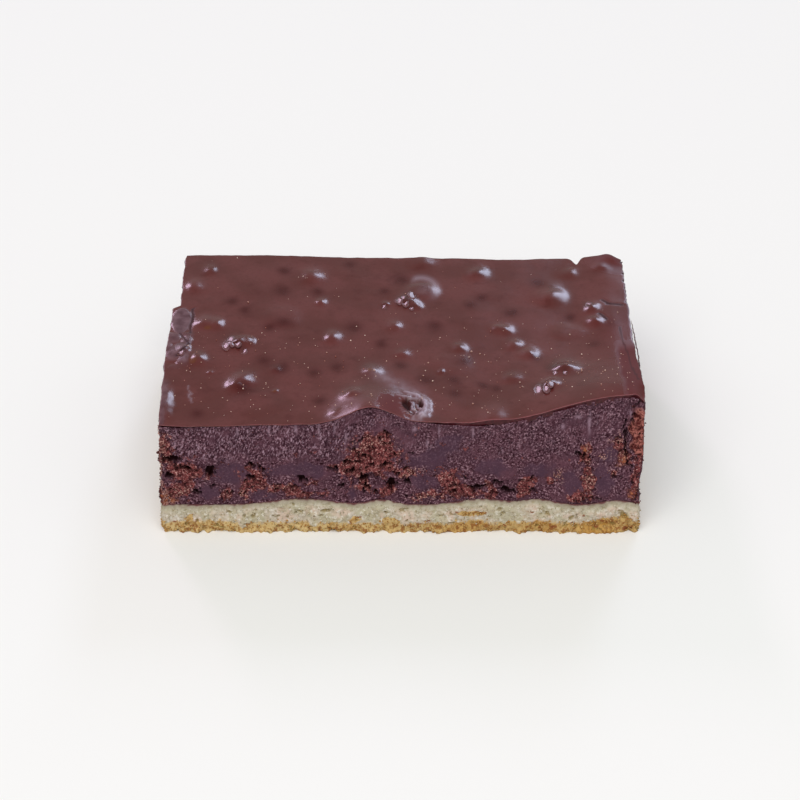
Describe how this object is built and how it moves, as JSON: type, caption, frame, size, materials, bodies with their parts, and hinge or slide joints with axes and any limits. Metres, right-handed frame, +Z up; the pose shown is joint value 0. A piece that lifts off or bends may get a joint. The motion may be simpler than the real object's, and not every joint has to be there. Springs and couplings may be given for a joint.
{
  "type": "chocolate crumb cake slice",
  "caption": "Rectangular slice of chocolate crumb cake: shortcrust base, dark crumb filling and thin lumpy chocolate glaze, cut flat at the front.",
  "frame": {"origin": "centre of the slice's footprint, on the surface that it stands on", "axes": "+X along the longer side, +Y from the cut front to the back, +Z up"},
  "size_m": [0.0995, 0.0705, 0.031],
  "materials": {
    "shortcrust": "pale baked shortcrust, porous, browned underneath",
    "crumb_filling": "moist dark chocolate cream with cake crumbs, matt with smooth smears",
    "chocolate_glaze": "soft semi-gloss milk-dark chocolate"
  },
  "bodies": {
    "root": {"shortcrust_base": "shortcrust", "crumb_filling": "crumb_filling", "chocolate_glaze": "chocolate_glaze"}
  },
  "joints": []
}
